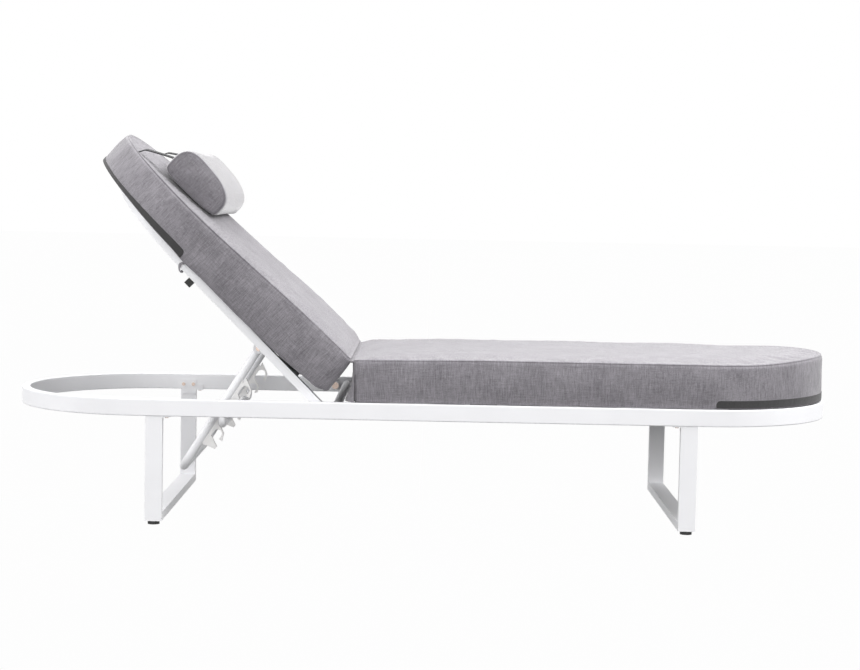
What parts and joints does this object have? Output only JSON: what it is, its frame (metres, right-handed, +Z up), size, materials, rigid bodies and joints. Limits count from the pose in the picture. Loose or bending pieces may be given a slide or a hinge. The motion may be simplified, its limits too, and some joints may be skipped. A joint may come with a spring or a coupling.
{
  "type": "sun lounger",
  "caption": "Sun lounger with an oval white tube frame on two U-shaped legs, a reclining backrest on a hooked support bail, and a boxed grey cushion with a head pillow.",
  "frame": {"origin": "on the floor under the centre of the oval ring", "axes": "+Z up, +X along the lounger towards the foot end, +Y across it"},
  "size_m": [1.9999, 0.66, 0.9277],
  "materials": {
    "frame": "satin",
    "steel": "satin",
    "nylon": "matte",
    "rubber": "matte",
    "cushion_fabric": "matte",
    "pillow_fabric": "matte",
    "band_fabric": "matte",
    "strap_fabric": "matte"
  },
  "bodies": {
    "base": {"cross_tube": "frame", "foot_band": "band_fabric", "foot_bolts_far": "steel", "foot_bolts_near": "steel", "foot_bow": "frame", "foot_bracket_far": "frame", "foot_bracket_near": "frame", "foot_foot_pad_far": "rubber", "foot_foot_pad_near": "rubber", "foot_leg_post_far": "frame", "foot_leg_post_near": "frame", "foot_leg_stretcher": "frame", "head_bolts_far": "steel", "head_bolts_near": "steel", "head_bow": "frame", "head_bracket_far": "frame", "head_bracket_near": "frame", "head_foot_pad_far": "rubber", "head_foot_pad_near": "rubber", "head_leg_post_far": "frame", "head_leg_post_near": "frame", "head_leg_stretcher": "frame", "hinge_bolt_far": "steel", "hinge_bolt_near": "steel", "hinge_washer_far": "nylon", "hinge_washer_near": "nylon", "rest_bar": "frame", "seat_cushion": "cushion_fabric", "seat_slat_1": "frame", "seat_slat_2": "frame", "seat_slat_3": "frame", "seat_slat_4": "frame", "seat_slat_5": "frame", "seat_slat_6": "frame", "seat_strap": "strap_fabric", "side_rail_far": "frame", "side_rail_near": "frame"},
    "backrest": {"back_bow": "frame", "back_rail_far": "frame", "back_rail_near": "frame", "back_slat_1": "frame", "back_slat_2": "frame", "back_slat_3": "frame", "back_slat_4": "frame", "bail_bolt_far": "steel", "bail_bolt_near": "steel", "bail_bracket_far": "frame", "bail_bracket_near": "frame", "bumper_far": "rubber", "bumper_near": "rubber", "tie_strap_far": "strap_fabric", "tie_strap_near": "strap_fabric"},
    "bail": {"bail_tube": "frame", "hook_comb_near": "nylon", "hook_comb_far": "nylon"},
    "back_pad": {"back_cushion": "cushion_fabric", "head_band": "band_fabric", "head_pillow": "pillow_fabric", "pillow_straps": "strap_fabric"}
  },
  "joints": [
    {"name": "backrest_recline", "type": "hinge", "parent": "base", "child": "backrest", "pos_m": [-0.234, 0, 0.277], "axis": [0, 1, 0], "range_deg": [-45.1, 0]},
    {"name": "bail_fold", "type": "hinge", "parent": "backrest", "child": "bail", "pos_m": [-0.39357, 0, 0.41304], "axis": [0, 1, 0], "range_deg": [0, 103.3]},
    {"name": "cushion_fold", "type": "hinge", "parent": "base", "child": "back_pad", "pos_m": [-0.166, 0, 0.3975], "axis": [0, 1, 0], "range_deg": [-43.23, 0]}
  ],
  "couplings": [
    {"joint": "bail_fold", "follows": "backrest_recline", "ratio": -2.2905},
    {"joint": "cushion_fold", "follows": "backrest_recline", "ratio": 0.95861}
  ]
}
